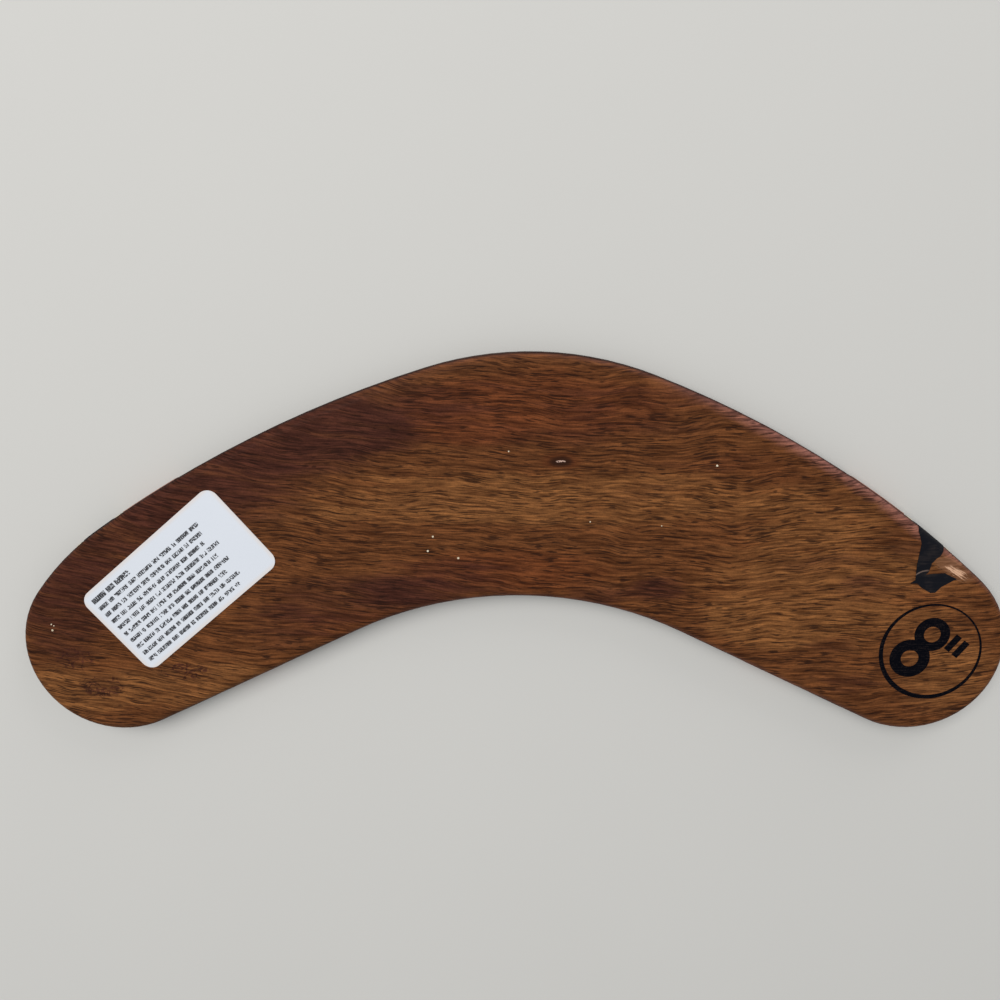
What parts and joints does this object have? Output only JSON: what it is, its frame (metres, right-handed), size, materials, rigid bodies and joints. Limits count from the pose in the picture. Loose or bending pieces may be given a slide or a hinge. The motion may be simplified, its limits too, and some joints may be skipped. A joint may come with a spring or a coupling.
{
  "type": "boomerang",
  "caption": "Small solid hardwood boomerang with a crowned, banded front and a flat back that carries a paper label, an inked size stamp and a run of black paint.",
  "frame": {"origin": "centre of the outline's bounding box, at the lowest point of the front, on which it lies", "axes": "+X from the left tip to the right tip, +Y towards the elbow, +Z out of the flat back face"},
  "size_m": [0.2032, 0.0788, 0.0063],
  "materials": {
    "timber": "oiled satin",
    "black_paint": "brushed gloss",
    "cream_paint": "matt",
    "ochre_paint": "matt",
    "paper": "satin",
    "adhesive": "aged",
    "print": "matt",
    "ink": "satin"
  },
  "bodies": {
    "root": {"timber_board": "timber", "black_band_left": "black_paint", "black_band_right": "black_paint", "black_overrun_patch": "black_paint", "cream_lines_left": "cream_paint", "cream_lines_right": "cream_paint", "ochre_band_left": "ochre_paint", "ochre_band_right": "ochre_paint", "label_adhesive": "adhesive", "label_paper": "paper", "label_heading_print": "print", "label_text_print": "print", "stamp_ring": "ink", "stamp_numeral": "ink", "stamp_inch_marks": "ink", "paint_specks": "cream_paint"}
  },
  "joints": []
}
